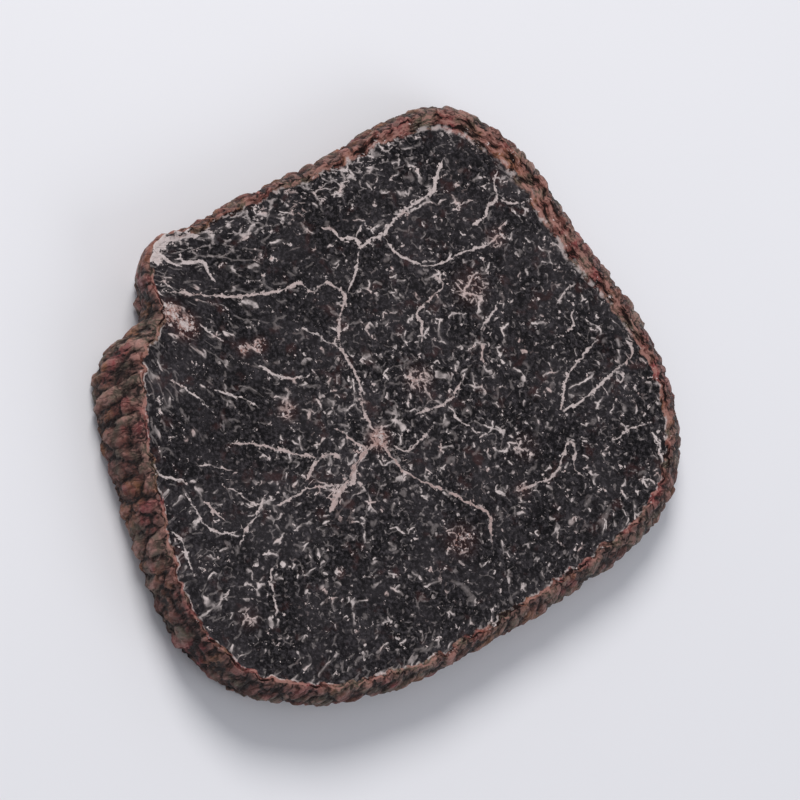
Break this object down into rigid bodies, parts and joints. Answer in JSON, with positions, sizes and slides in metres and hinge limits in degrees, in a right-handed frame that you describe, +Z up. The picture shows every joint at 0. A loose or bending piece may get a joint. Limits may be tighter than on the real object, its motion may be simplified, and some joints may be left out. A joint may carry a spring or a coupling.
{
  "type": "black truffle slice",
  "caption": "Thick slice of black truffle: flat cut faces of dark, white-veined flesh inside a band of warty brown skin with a nick on one side.",
  "frame": {"origin": "in the plane that the slice lies on, under the middle of its bounding box", "axes": "+Z up, across the slice from the wider cut face that it lies on to the narrower one; +X towards the slice's thin side and +Y towards its rounded top"},
  "size_m": [0.0482, 0.0476, 0.0054],
  "materials": {
    "truffle": "matt dark flesh with pale branching veins, and reddish brown warty skin round the edge"
  },
  "bodies": {
    "root": {"truffle_slice": "truffle"}
  },
  "joints": []
}
